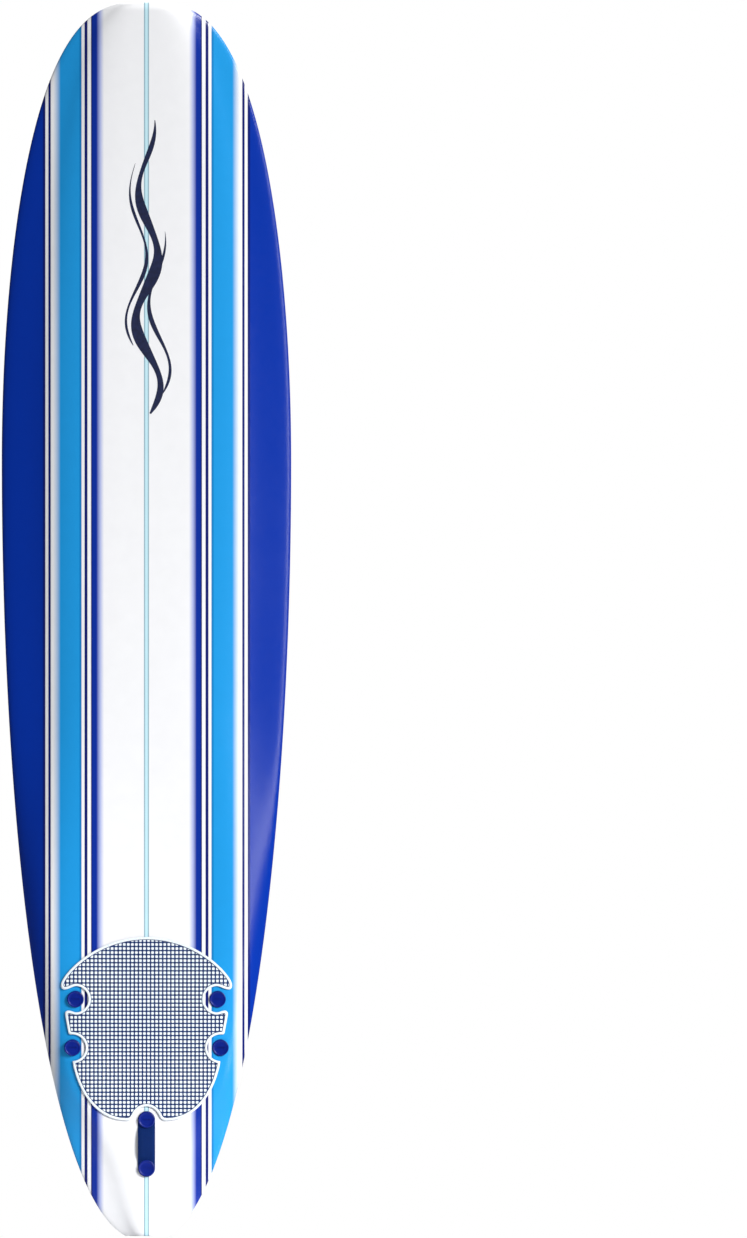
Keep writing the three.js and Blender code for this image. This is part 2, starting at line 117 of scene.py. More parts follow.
# The leash strap and the traction pad.
STRAP = {"width": 0.034, "thickness": 0.0018, "arch": 0.005, "head": 0.0034}
PAD = {"thickness": 0.0035, "cutout": 0.0265, "border": 0.0048, "base": 0.0019}
BLOCK = {"pitch": 0.0080, "size": 0.0054, "corner": 0.0009, "bevel": 0.0004}
BLOCK_COLUMNS = range(-22, 22)
BLOCK_ROWS = range(27, 75)
RIB = {"spacing": 0.0018, "depth": 0.00012}
STRAP_STEPS = 293

# From well out over the deck to well below the belly, for tools that cut right through.
CUTTER_REACH = (-0.2, 0.1)

STATION_COUNT = 76

ROUND_SIDES = 64


# ---- The board's form ----

def lerp(a, b, share):
    return a + (b - a) * share


def smoothstep(value, low, high):
    share = np.clip((value - low) / (high - low), 0, 1)
    return share * share * (3 - 2 * share)


def tailward(z):
    return np.clip((BELLY_BACK - z) / BELLY_BACK, 0, 1)


def noseward(z):
    return np.clip((z - BELLY_FRONT) / (LENGTH - BELLY_FRONT), 0, 1)


def tailness(z):
    return 1 - smoothstep(z, *TAIL_BLEND)


def noseness(z):
    return smoothstep(z, BELLY_FRONT, NOSE_BLEND_END)


def along(values, z):
    return lerp(lerp(values["middle"], values["tail"], tailness(z)), values["nose"], noseness(z))


def half_width(z):
    span = np.where(z < WIDEST, TAIL_SPAN, NOSE_SPAN)
    power = np.where(z < WIDEST, TAIL_FULLNESS, NOSE_FULLNESS)
    return HALF_WIDTH * (1 - ((z - WIDEST) / span) ** 2) ** power


def edge_share(z):
    """Share of the thickness left where the nose and tail edges round over."""
    def rounded(distance, radius):
        return np.sqrt(1 - (1 - np.clip(distance / radius, 0, 1)) ** 2)
    return rounded(LENGTH - z + NOSE_FLAT, NOSE_EDGE) * rounded(z + TAIL_FLAT, TAIL_EDGE)


def rocker_at(z):
    nose = NOSE_ROCKER * noseward(z) ** NOSE_POWER
    return nose + TAIL_ROCKER * tailward(z) ** TAIL_ROCKER_POWER


def full_thickness(z):
    thinned = THICKNESS - NOSE_THINNING * noseward(z) ** NOSE_POWER
    return thinned - TAIL_THINNING * tailward(z) ** TAIL_THINNING_POWER


def thickness_at(z):
    return full_thickness(z) * edge_share(z)


def bottom_at(z):
    """Height of the bottom above the belly's flat, towards the deck."""
    return rocker_at(z) + APEX * (full_thickness(z) - thickness_at(z))


def crown_at(z):
    """The deck's crown: share of the half-width covered, drop there as a share, and power."""
    endness = 1 - smoothstep(z, END_CROWN_FROM, END_CROWN_TO)

    def mix(key):
        return lerp(lerp(MAIN_CROWN[key], TAIL_CROWN[key], tailness(z)), END_CROWN[key], endness)
    return mix("cover"), mix("drop"), mix("power")


def deck_at(x, z):
    cover, drop, power = crown_at(z)
    share = np.abs(x) / half_width(z) / cover
    return bottom_at(z) + thickness_at(z) * (1 - drop * share ** power)


BELLY_Y = float(bottom_at(0.0) + thickness_at(0.0) / 2)


def at_height(height):
    return BELLY_Y - height


def seam_height(z):
    return bottom_at(z) + np.minimum(along(SEAM, z), MOST_SEAM * thickness_at(z))


def bezier(points, t):
    a, b, c, d = (np.array(p, float) for p in points)
    t = np.asarray(t, float)[:, None]
    return (1 - t) ** 3 * a + 3 * (1 - t) ** 2 * t * b + 3 * (1 - t) * t ** 2 * c + t ** 3 * d


def rail_curves(z, width):
    """The rail's lower and upper curves, as shares of the half-width and the thickness."""
    cover, drop, power = crown_at(z)
    reach = min(along(RAIL_REACH, z) / width, MOST_REACH)
    shoulder = 0.45 * (1 - cover)
    fall = power * drop / cover * shoulder
    lower = [(1 - reach, 0), (1 - 0.56 * reach, 0), (1, 0.2), (1, APEX)]
    upper = [(1, APEX), (1, APEX + 0.11), (cover + shoulder, 1 - drop - fall), (cover, 1 - drop)]
    return lower, upper


def weld_share(z, lower, thick, base):
    """Where the weld meets the rail's lower curve."""
    t = np.linspace(0, 1, 101)
    return np.interp((seam_height(z) - base) / thick, bezier(lower, t)[:, 1], t)


def section_sizes(z, side, top, bottom):
    return half_width(z) - side, thickness_at(z) - top - bottom, bottom_at(z) + bottom


def deck_curve(z, insets):
    """Half a deck section from the weld round the rail to the centre line: X and height."""
    width, thick, base = section_sizes(z, *insets)
    lower, upper = rail_curves(z, width)
    start = weld_share(z, lower, thick, base)
    cover, drop, power = crown_at(z)
    share = np.linspace(1, 0, 23)[1:] ** 1.15
    dome = np.column_stack([cover * share, 1 - drop * share ** power])
    rail = [bezier(lower, np.linspace(start, 1, 9)), bezier(upper, np.linspace(0, 1, 15))[1:]]
    return np.concatenate([*rail, dome]) * (width, thick) + (0, base)


def bottom_curve(z, insets):
    """Half a bottom section from the weld round the rail to the centre line: X and height."""
    width, thick, base = section_sizes(z, *insets)
    lower, _ = rail_curves(z, width)
    start = weld_share(z, lower, thick, base)
    rail = bezier(lower, np.linspace(start, 0, 11))
    flat = np.column_stack([np.linspace(rail[-1][0], 0, 13)[1:], np.zeros(12)])
    return np.concatenate([rail, flat]) * (width, thick) + (0, base)


def stations():
    """Places along the board for its sections, closer together towards both ends."""
    swing = np.sin(np.linspace(0, math.pi / 2, STATION_COUNT))
    tail = WIDEST * (1 - swing[::-1])
    nose = WIDEST + (LENGTH - WIDEST) * swing[1:]
    return np.concatenate([tail, nose])


# ---- Mesh building ----

def grid_faces(rows, columns, wrap_rows=False, wrap_columns=False):
    """Quads over a grid of points numbered row by row."""
    faces = []
    for r in range(rows if wrap_rows else rows - 1):
        for c in range(columns if wrap_columns else columns - 1):
            right = (c + 1) % columns
            below = (r + 1) % rows
            corners = (r * columns + c, r * columns + right, below * columns + right)
            faces.append((*corners, below * columns + c))
    return faces


def tidy_mesh(mesh):
    """Merges what coincides and turns the faces outwards."""
    work = bmesh.new()
    work.from_mesh(mesh)
    bmesh.ops.remove_doubles(work, verts=work.verts, dist=2e-7)
    bmesh.ops.dissolve_degenerate(work, edges=work.edges, dist=1e-7)
    bmesh.ops.recalc_face_normals(work, faces=work.faces)
    work.to_mesh(mesh)
    work.free()


def shade(obj, angle=38):
    obj.data.shade_smooth()
    obj.data.set_sharp_from_angle(angle=math.radians(angle))


def solid(name, parts):
    """One object from several closed parts, each a list of points and a list of faces."""
    points, faces = [], []
    for part_points, part_faces in parts:
        first = len(points)
        points.extend(tuple(p) for p in part_points)
        faces.extend(tuple(first + i for i in face) for face in part_faces)
    mesh = bpy.data.meshes.new(name)
    mesh.from_pydata(points, [], faces)
    tidy_mesh(mesh)
    obj = bpy.data.objects.new(name, mesh)
    bpy.context.scene.collection.objects.link(obj)
    return obj


def combine(target, other, operation, crossing=False):
    """Cuts the other object from the target, or joins or intersects the two. Crossing says that
    one of them may cross itself."""
    boolean = target.modifiers.new(operation, "BOOLEAN")
    boolean.operation = operation
    boolean.solver = "EXACT"
    boolean.use_self = crossing
    boolean.object = other
    view = bpy.context.evaluated_depsgraph_get()
    mesh = bpy.data.meshes.new_from_object(target.evaluated_get(view))
    target.modifiers.clear()
    target.data = mesh
    bpy.data.objects.remove(other)
    return target


def revolve(profile, x, z, sides=ROUND_SIDES, ripple=None):
    """A solid of revolution about Y through x, z. The profile lists radius and Y, and either
    closes on itself or starts and ends on the axis. A ripple changes the radius by Y and angle."""
    turns = np.arange(sides) / sides * 2 * math.pi
    points = []
    for radius, y in profile:
        for turn in turns:
            r = radius + (ripple(y, turn, radius) if ripple else 0)
            points.append((x + r * math.cos(turn), y, z + r * math.sin(turn)))
    closed = profile[0] == profile[-1]
    rows = len(profile) - 1 if closed else len(profile)
    return points[:rows * sides], grid_faces(rows, sides, closed, True)


def loft(rings):
    """A closed surface through rings of equal length, with flat ends."""
    points = np.concatenate(rings)
    rows, columns = len(rings), len(rings[0])
    faces = grid_faces(rows, columns, wrap_columns=True)
    faces.append(tuple(reversed(range(columns))))
    faces.append(tuple(range((rows - 1) * columns, rows * columns)))
    return points, faces


def slab(outline, y_low, y_high):
    """A prism along Y over an outline in X and Z."""
    low = np.column_stack([outline[:, 0], np.full(len(outline), y_low), outline[:, 1]])
    high = low + (0, y_high - y_low, 0)
    return loft([low, high])


def brick(low, high):
    corners = np.array([(low[0], low[2]), (high[0], low[2]), (high[0], high[2]), (low[0], high[2])])
    return slab(corners, low[1], high[1])


# ---- Materials ----

def linear(red, green, blue):
    """A colour given in everyday 0-255 values, as the linear colour that shaders use."""
    def channel(value):
        value /= 255
        return value / 12.92 if value <= 0.04045 else ((value + 0.055) / 1.055) ** 2.4
    return (channel(red), channel(green), channel(blue), 1.0)


# A wave texture's scale for one band in each metre.
WAVE_UNIT = 0.314159


class Look:
    """A material with a Principled shader and short ways to add the nodes that drive it."""

    def __init__(self, name, **values):
        self.material = bpy.data.materials.new(name)
        self.material.use_nodes = True
        self.tree = self.material.node_tree
        self.shader = self.tree.nodes["Principled BSDF"]
        for socket, value in values.items():
            self.shader.inputs[socket.replace("_", " ")].default_value = value
        self.place = self.node("ShaderNodeTexCoord").outputs["Object"]

    def node(self, kind, inputs=None, **settings):
        node = self.tree.nodes.new(kind)
        for key, value in settings.items():
            setattr(node, key, value)
        for key, value in (inputs or {}).items():
            if isinstance(value, bpy.types.NodeSocket):
                self.tree.links.new(value, node.inputs[key])
            else:
                node.inputs[key].default_value = value
        return node

    def math(self, operation, a, b=0.0):
        return self.node("ShaderNodeMath", {0: a, 1: b}, operation=operation).outputs[0]

    def stretched(self, x, y, z):
        mapping = self.node("ShaderNodeMapping", {"Vector": self.place, "Scale": (x, y, z)})
        return mapping.outputs[0]

    def noise(self, scale, detail=2.0, place=None):
        inputs = {"Vector": place or self.place, "Scale": scale, "Detail": detail}
        return self.node("ShaderNodeTexNoise", inputs).outputs["Fac"]

    def cells(self, scale, feature="F1"):
        inputs = {"Vector": self.place, "Scale": scale}
        return self.node("ShaderNodeTexVoronoi", inputs, feature=feature).outputs["Distance"]

    def waves(self, axis, spacing, distortion=0.0):
        inputs = {"Vector": self.place, "Scale": WAVE_UNIT / spacing, "Distortion": distortion}
        settings = {"bands_direction": axis, "wave_profile": "SIN"}
        return self.node("ShaderNodeTexWave", inputs, **settings).outputs["Fac"]

    def ramp(self, value, stops):
        node = self.node("ShaderNodeValToRGB", {0: value})
        elements = node.color_ramp.elements
        while len(elements) < len(stops):
            elements.new(1.0)
        for element, (position, color) in zip(elements, stops):
            element.position = position
            element.color = color
        return node.outputs["Color"]

    def level(self, value, low, high):
        inputs = {"Value": value, "To Min": low, "To Max": high}
        return self.node("ShaderNodeMapRange", inputs).outputs["Result"]

    def mixed(self, share, a, b, blend="MIX"):
        node = self.node("ShaderNodeMix", data_type="RGBA", blend_type=blend)
        for key, value in ((0, share), (6, a), (7, b)):
            if isinstance(value, bpy.types.NodeSocket):
                self.tree.links.new(value, node.inputs[key])
            else:
                node.inputs[key].default_value = value
        return node.outputs[2]

    def color(self, output):
        self.tree.links.new(output, self.shader.inputs["Base Color"])

    def rough(self, output):
        self.tree.links.new(output, self.shader.inputs["Roughness"])

    def bumps(self, *layers):
        """Layers of a height output and its depth in metres, one over another."""
        normal = None
        for height, depth in layers:
            inputs = {"Height": height, "Distance": depth, "Strength": 1.0}
            if normal:
                inputs["Normal"] = normal
            normal = self.node("ShaderNodeBump", inputs).outputs["Normal"]
        self.tree.links.new(normal, self.shader.inputs["Normal"])


WHITE = linear(252, 252, 254)
PALE_CYAN = linear(205, 240, 250)
TEAL = linear(70, 146, 172)
LIGHT_BLUE = linear(32, 156, 228)
LIGHT_BLUE_EDGE = linear(22, 128, 196)
DEEP_BLUE = linear(12, 48, 158)
NAVY = linear(10, 24, 108)
ROYAL_BLUE = linear(0, 50, 166)

# The deck's stripes: distance from the centre line in millimetres, and the colour there.
STRIPES = [
    (0.0, PALE_CYAN), (2.7, PALE_CYAN), (3.1, TEAL), (4.3, TEAL), (4.9, WHITE), (84.0, WHITE),
    (92.0, linear(176, 186, 236)), (98.5, DEEP_BLUE), (107.0, DEEP_BLUE), (107.6, NAVY),
    (109.3, NAVY), (110.0, WHITE), (116.5, WHITE), (117.2, NAVY), (122.0, NAVY), (122.8, WHITE),
    (128.0, WHITE), (128.8, LIGHT_BLUE_EDGE), (131.5, LIGHT_BLUE_EDGE), (133.5, LIGHT_BLUE),
    (170.0, LIGHT_BLUE), (184.0, WHITE), (188.6, WHITE), (189.3, NAVY), (193.4, NAVY),
    (194.1, WHITE), (199.3, WHITE), (200.2, NAVY), (203.5, NAVY), (205.5, ROYAL_BLUE),
]
STRIPE_REACH = 300.0


def deck_foam():
    """Closed-cell foam skin with its printed stripes and a fine embossed grain."""
    look = Look("deck_foam", Roughness=0.22, Specular_IOR_Level=0.3)
    across = look.node("ShaderNodeSeparateXYZ", {0: look.place}).outputs[0]
    share = look.math("MULTIPLY", look.math("ABSOLUTE", across), 1000 / STRIPE_REACH)
    stripes = look.ramp(share, [(mm / STRIPE_REACH, color) for mm, color in STRIPES])
    print_tone = look.level(look.noise(38.0, 3.0), 0.955, 1.0)
    look.color(look.mixed(1.0, stripes, print_tone, "MULTIPLY"))
    grain = look.cells(1150.0, "SMOOTH_F1")
    look.rough(look.level(look.noise(120.0, 4.0), 0.19, 0.27))
    look.bumps((look.noise(9.0, 2.0), 0.0009), (grain, 0.00012))
    return look.material


def slick_bottom():
    """Polyethylene sheet with a faint orange peel and fine lengthwise scuffs."""
    look = Look("slick_bottom", Roughness=0.28, Specular_IOR_Level=0.5, Coat_Weight=0.15)
    tone = look.ramp(look.noise(5.0, 3.0), [(0.25, linear(226, 226, 235)), (0.75, linear(238, 238, 245))])
    scuffs = look.noise(420.0, 3.0, look.stretched(1.0, 1.0, 0.02))
    look.color(tone)
    look.rough(look.level(scuffs, 0.18, 0.40))
    look.bumps((look.noise(60.0, 2.0), 0.0003), (scuffs, 0.00004))
    return look.material


def weld_plastic():
    """The white edge where the bottom sheet is welded over the deck foam."""
    look = Look("weld_plastic", Roughness=0.35)
    look.color(look.ramp(look.noise(90.0), [(0.3, linear(236, 238, 244)), (0.7, linear(250, 251, 254))]))
    look.rough(look.level(look.noise(240.0), 0.28, 0.46))
    look.bumps((look.noise(160.0, 3.0), 0.00025))
    return look.material


def pad_foam(name, dark, bright):
    """Sanded EVA foam with fine open pores."""
    look = Look(name, Roughness=0.82, Sheen_Weight=0.15, Specular_IOR_Level=0.35)
    look.color(look.ramp(look.noise(260.0, 4.0), [(0.3, dark), (0.7, bright)]))
    look.rough(look.level(look.noise(900.0, 2.0), 0.74, 0.92))
    look.bumps((look.noise(1500.0, 3.0), 0.00012), (look.cells(2200.0), 0.00006))
    return look.material


def webbing():
    """Woven nylon strap with fine ribs across it."""
    look = Look("webbing", Roughness=0.66, Specular_IOR_Level=0.12)
    ribs = look.waves("Z", RIB["spacing"])
    yarns = look.waves("X", 0.0011)
    weave = look.math("MULTIPLY", ribs, yarns)
    tone = look.ramp(weave, [(0.0, linear(0, 24, 76)), (1.0, linear(4, 58, 140))])
    look.color(look.mixed(look.level(look.noise(60.0, 3.0), 0.0, 0.35), tone, linear(0, 40, 104)))
    look.rough(look.level(yarns, 0.5, 0.75))
    look.bumps((ribs, 0.0003), (yarns, 0.00018))
    return look.material


def moulded(name, dark, bright, rough_low, rough_high, grain=0.00005):
    """Injection-moulded plastic with a faint texture from its tool."""
    look = Look(name, Roughness=0.35, Specular_IOR_Level=0.3)
    look.color(look.ramp(look.noise(30.0, 3.0), [(0.25, dark), (0.75, bright)]))
    look.rough(look.level(look.noise(140.0, 4.0), rough_low, rough_high))
    look.bumps((look.noise(45.0, 2.0), 0.0002), (look.noise(1400.0, 2.0), grain))
    return look.material


def bead_foam():
    """Expanded polystyrene: round beads pressed together."""
    look = Look("bead_foam", Roughness=0.85)
    edges = look.cells(230.0, "DISTANCE_TO_EDGE")
    look.color(look.ramp(edges, [(0.0, linear(206, 208, 206)), (0.12, linear(246, 246, 242))]))
    look.rough(look.level(look.noise(300.0), 0.75, 0.95))
    look.bumps((look.cells(230.0, "SMOOTH_F1"), 0.0006))
    return look.material


def plywood():
    """Thin veneers seen edge-on, with grain along the board."""
    look = Look("plywood", Roughness=0.6)
    grain = look.noise(180.0, 6.0, look.stretched(1.0, 1.0, 0.05))
    veneers = look.waves("Y", 0.0042, 0.6)
    wood = look.ramp(grain, [(0.3, linear(150, 108, 62)), (0.7, linear(206, 164, 108))])
    look.color(look.mixed(look.level(veneers, 0.0, 0.4), wood, linear(120, 82, 46), "MULTIPLY"))
    look.rough(look.level(grain, 0.5, 0.75))
    look.bumps((grain, 0.0002))
    return look.material


def brass():
    look = Look("insert_brass", Roughness=0.28, Metallic=1.0)
    look.color(look.ramp(look.noise(90.0, 3.0), [(0.3, linear(168, 132, 64)), (0.7, linear(208, 176, 96))]))
    look.rough(look.level(look.noise(500.0, 2.0), 0.2, 0.42))
    look.bumps((look.waves("Y", 0.0006), 0.00006))
    return look.material


def printed_ink():
    """The motif's ink, slightly worn where it was brushed thin."""
    look = Look("printed_ink", Roughness=0.45)
    look.color(look.ramp(look.noise(150.0, 5.0), [(0.25, linear(8, 16, 50)), (0.75, linear(22, 34, 78))]))
    look.rough(look.level(look.noise(200.0), 0.38, 0.56))
    look.bumps((look.cells(1150.0, "SMOOTH_F1"), 0.0001))
    return look.material


LOOKS = {
    "deck": deck_foam(),
    "bottom": slick_bottom(),
    "weld": weld_plastic(),
    "pad_top": pad_foam("pad_white", linear(226, 240, 248), linear(250, 253, 255)),
    "pad_groove": pad_foam("pad_navy", linear(4, 34, 88), linear(10, 52, 112)),
    "strap": webbing(),
    "fin": moulded("fin_plastic", linear(0, 28, 140), linear(4, 42, 160), 0.26, 0.42),
    "bolt": moulded("bolt_plastic", linear(0, 24, 118), linear(3, 33, 136), 0.24, 0.38),
    "sleeve": moulded("sleeve_plastic", linear(206, 210, 216), linear(224, 227, 232), 0.4, 0.55),
    "core": bead_foam(),
    "wood": plywood(),
    "brass": brass(),
    "ink": printed_ink(),
}


def dress(obj, look, slot, body, *nodes):
    """Gives a new piece its material and body, and hides the CAD nodes that it stands for. The slot is not
    used.
    """
    obj.data.materials.clear()
    obj.data.materials.append(LOOKS[look])
    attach(obj, body)
    if nodes:
        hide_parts(*nodes)
    return obj


# ---- Camera, light and floor ----

def add_camera():
    """The deck seen square on, with room on the right of it."""
    data = bpy.data.cameras.new("camera")
    data.type = "ORTHO"
    data.ortho_scale = 2.4463
    camera = bpy.data.objects.new("camera", data)
    camera.location = (0.4486, -4.0, LENGTH / 2)
    camera.rotation_euler = (math.pi / 2, 0, 0)
    bpy.context.scene.collection.objects.link(camera)
    bpy.context.scene.camera = camera


def add_sun(name, toward, strength, width):
    """Even light travelling along a direction, from a source of that angular width in degrees."""
    data = bpy.data.lights.new(name, "SUN")
    data.energy = strength
    data.angle = math.radians(width)
    sun = bpy.data.objects.new(name, data)
    sun.rotation_euler = Vector(toward).to_track_quat("-Z", "Y").to_euler()
    bpy.context.scene.collection.objects.link(sun)


def add_studio():
    scene = bpy.context.scene
    scene.view_settings.view_transform = "Standard"
    world = bpy.data.worlds.new("studio")
    scene.world = world
    world.use_nodes = True
    nodes, links = world.node_tree.nodes, world.node_tree.links
    fill = nodes["Background"]
    fill.inputs["Color"].default_value = (0.92, 0.96, 1.0, 1.0)
    fill.inputs["Strength"].default_value = 0.12
    backdrop = nodes.new("ShaderNodeBackground")
    backdrop.inputs["Color"].default_value = (1.0, 1.0, 1.0, 1.0)
    mix = nodes.new("ShaderNodeMixShader")
    links.new(nodes.new("ShaderNodeLightPath").outputs["Is Camera Ray"], mix.inputs[0])
    links.new(fill.outputs[0], mix.inputs[1])
    links.new(backdrop.outputs[0], mix.inputs[2])
    links.new(mix.outputs[0], nodes["World Output"].inputs["Surface"])
    add_sun("key", (-0.60, 0.69, -0.41), 3.2, 20)
    add_sun("sheen", (-0.84, 0.54, -0.03), 0.6, 14)
    add_sun("back_fill", (-0.10, -0.80, -0.55), 2.2, 60)
    add_sun("top", (-0.12, 0.16, -1.0), 0.25, 60)


def add_floor():
    look = Look("floor", Roughness=0.7, Specular_IOR_Level=0.2)
    look.color(look.ramp(look.noise(0.7, 2.0), [(0.3, linear(240, 241, 243)), (0.7, linear(246, 247, 249))]))
    disc = arc(0, 0, 1.4, 0, 2 * math.pi, 129)[:-1]
    mesh = bpy.data.meshes.new("floor")
    mesh.from_pydata([(x, y, 0) for x, y in disc], [], [tuple(range(len(disc)))])
    mesh.materials.append(look.material)
    floor = bpy.data.objects.new("floor", mesh)
    bpy.context.scene.collection.objects.link(floor)


# ---- Where the hardware sits ----

def place_bolts():
    fins = [
        {"name": "left", "x": -SIDE_FIN["x"], "z": SIDE_FIN["z"], "toe": SIDE_FIN["toe"]},
        {"name": "right", "x": SIDE_FIN["x"], "z": SIDE_FIN["z"], "toe": -SIDE_FIN["toe"]},
        {"name": "center", **CENTER_FIN},
    ]
    bolts = []
    for fin in fins:
        strapped = fin["name"] == "center"
        for end, way in (("front", 1), ("rear", -1)):
            turn = math.radians(fin["toe"])
            x = fin["x"] + way * BOLT_SPACING / 2 * math.sin(turn)
            z = fin["z"] + way * BOLT_SPACING / 2 * math.cos(turn)
            deck = float(deck_at(x, z - STRAP["width"] / 2 if strapped else z))
            bolts.append({
                "name": fin["name"] + "_" + end,
                "fin": fin["name"],
                "x": x,
                "z": z,
                "bottom": float(bottom_at(z)),
                "seat": deck if strapped else deck - BOLT["seat"],
                "under": deck + 2 * GAP + STRAP["thickness"] if strapped else deck - BOLT["seat"] + GAP,
                "head": STRAP["head"] if strapped else BOLT["rise"],
            })
    return fins, bolts


FINS, BOLTS = place_bolts()


def bolts_of(fin_name):
    return [b for b in BOLTS if b["fin"] == fin_name]


# ---- The skins ----

def shell(name, curve):
    """A skin as a closed wall: its outside, its inside, and the rim along the weld."""
    outer_z = stations()
    inner_z = DECK_SKIN + outer_z * (LENGTH - 2 * DECK_SKIN) / LENGTH
    inset = (DECK_SKIN, DECK_SKIN, BOTTOM_SKIN)

    def row(z, insets):
        half = curve(z, insets)
        whole = np.concatenate([half * (-1, 1), half[-2::-1]])
        return np.column_stack([whole[:, 0], at_height(whole[:, 1]), np.full(len(whole), z)])

    def floor(points, z):
        reach = abs(points[0][0])
        flat = np.clip(points[:, 0], -reach, reach)
        return np.column_stack([flat, np.full(len(flat), points[0][1]), np.full(len(flat), z)])

    outer = [row(z, (0, 0, 0)) for z in outer_z]
    inner = [row(z, inset) for z in inner_z]
    rows = [floor(outer[0], outer_z[0]), *outer, floor(outer[-1], outer_z[-1])]
    rows += [floor(inner[-1], inner_z[-1]), *inner[::-1], floor(inner[0], inner_z[0])]
    columns = len(rows[0])
    faces = grid_faces(len(rows), columns, wrap_rows=True)
    count = len(outer)
    for i in range(count - 1):
        near = [1 + i, 2 + i, 2 * count + 2 - i - 1, 2 * count + 2 - i]
        for column in (0, columns - 1):
            faces.append(tuple(r * columns + column for r in near))
    return solid(name, [(np.concatenate(rows), faces)])


def bolt_hole(b, seat):
    """What a sleeve, and a side bolt's head, take out of the skins."""
    radius = SLEEVE["radius"] + GAP
    far = 0.02
    deep = at_height(b["bottom"] - far)
    out = at_height(b["under"] + far)
    profile = [(0, deep), (radius, deep), (radius, out), (0, out)]
    if seat:
        floor = at_height(b["seat"])
        wide = BOLT["head"] + 2 * GAP
        profile = [(0, deep), (radius, deep), (radius, floor), (wide, floor), (wide, out), (0, out)]
    return revolve(profile, b["x"], b["z"])


def add_skins():
    deck = shell("deck_shell", deck_curve)
    holes = [bolt_hole(b, b["fin"] != "center") for b in BOLTS]
    combine(deck, solid("deck_holes", holes), "DIFFERENCE")
    shade(deck)
    dress(deck, "deck", "deck_foam", "board", "deck_skin")
    bottom = shell("bottom_shell", bottom_curve)
    holes = [bolt_hole(b, False) for b in BOLTS]
    combine(bottom, solid("bottom_holes", holes), "DIFFERENCE")
    shade(bottom)
    dress(bottom, "bottom", "slick_bottom", "board", "bottom_skin")


def weld_path():
    """Points round the board on the weld, with the rail's direction there towards the deck."""
    right = []
    for z in stations():
        width, thick, base = section_sizes(z, 0, 0, 0)
        lower, _ = rail_curves(z, width)
        at = weld_share(z, lower, thick, base)
        here, ahead = bezier(lower, [at, at + 0.02]) * (width, thick)
        rise = (ahead - here) / np.linalg.norm(ahead - here)
        right.append((here[0], at_height(base + here[1]), z, rise[0], -rise[1]))
    right = np.array(right)
    left = right[::-1] * (-1, 1, 1, -1, 1)
    across = np.linspace(0, 1, 8)[1:-1, None]
    nose = lerp(right[-1], left[0], across)
    tail = lerp(left[-1], right[0], across)
    for cap in (nose, tail):
        cap[:, 3] = 0
        cap[:, 4] = -1
    return np.concatenate([right, nose, left, tail])


def add_weld():
    """The bead along the seam, half sunk in the rail."""
    path = weld_path()
    place = path[:, :3]
    rise = np.column_stack([path[:, 3:5], np.zeros(len(path))])
    forward = np.roll(place, -1, axis=0) - np.roll(place, 1, axis=0)
    forward /= np.linalg.norm(forward, axis=1)[:, None]
    out = np.cross(rise, forward)
    out /= np.linalg.norm(out, axis=1)[:, None]
    middle = np.array([0, BELLY_Y, LENGTH / 2])
    out *= np.sign(np.sum(out * (place - middle), axis=1))[:, None]
    bead = []
    for turn in np.arange(WELD_SIDES) / WELD_SIDES * 2 * math.pi:
        lift = WELD_HEIGHT * math.sin(turn)
        bead.append(place + rise * math.cos(turn) * WELD_WIDTH / 2 + out * lift)
    points = np.stack(bead, axis=1)
    points[:, :, 2] = np.clip(points[:, :, 2], 0, LENGTH)
    faces = grid_faces(len(path), WELD_SIDES, True, True)
    bead = solid("weld_bead", [(points.reshape(-1, 3), faces)])
    shade(bead)
    dress(bead, "weld", "slick_bottom", "board")


# ---- The traction pad ----

def arc(x, z, radius, start, stop, count=16):
    turns = np.linspace(start, stop, count)
    return np.column_stack([x + radius * np.cos(turns), z + radius * np.sin(turns)])


def pad_outline():
    """The pad's edge in X and Z, counter-clockwise from its front tip."""
    front, rear = bolts_of("right")
    notch = bolts_of("center")[0]
    cutout = PAD["cutout"]
    turn = math.pi / 2
    t = np.linspace(0, 1, 15)
    beside_front = (front["x"], front["z"] + cutout)
    below_front = (front["x"], front["z"] - cutout)
    beside_rear = (rear["x"], rear["z"] + cutout)
    below_rear = (rear["x"], rear["z"] - cutout)
    right = [
        bezier([(0, 0.591), (0.062, 0.591), (0.115, 0.563), (0.149, 0.528)], t),
        bezier([(0.149, 0.528), (0.163, 0.513), (0.173, 0.499), (0.168, 0.490)], t),
        bezier([(0.168, 0.490), (0.163, 0.483), (0.152, 0.490), beside_front], t),
        arc(front["x"], front["z"], cutout, turn, 3 * turn),
        bezier([below_front, (0.150, 0.446), (0.161, 0.449), (0.161, 0.438)], t),
        np.array([(0.161, 0.438), (0.159, 0.427), (0.157, 0.416), (0.155, 0.405)]),
        bezier([(0.155, 0.405), (0.154, 0.397), (0.151, 0.398), beside_rear], t),
        arc(rear["x"], rear["z"], cutout, turn, 3 * turn),
        bezier([below_rear, (0.145, 0.341), (0.145, 0.334), (0.142, 0.326)], t),
        bezier([(0.142, 0.326), (0.131, 0.284), (0.100, 0.229), (0.040, 0.228)], t),
        bezier([(0.040, 0.228), (0.033, 0.228), (0.029, 0.230), (0.026, 0.236)], t),
        arc(0, notch["z"], cutout, math.atan2(0.236 - notch["z"], 0.026), turn, 10),
    ]
    right = np.concatenate(right)
    steps = np.linalg.norm(np.diff(right, axis=0), axis=1)
    right = right[np.concatenate([[True], steps > 1e-5])]
    left = right[-2:0:-1] * (-1, 1)
    return np.concatenate([right, left])[::-1]


def even_outline(outline, spacing):
    """The same closed outline with its points evenly spaced."""
    closed = np.concatenate([outline, outline[:1]])
    length = np.concatenate([[0], np.cumsum(np.linalg.norm(np.diff(closed, axis=0), axis=1))])
    at = np.linspace(0, length[-1], round(length[-1] / spacing) + 1)[:-1]
    return np.column_stack([np.interp(at, length, closed[:, 0]), np.interp(at, length, closed[:, 1])])


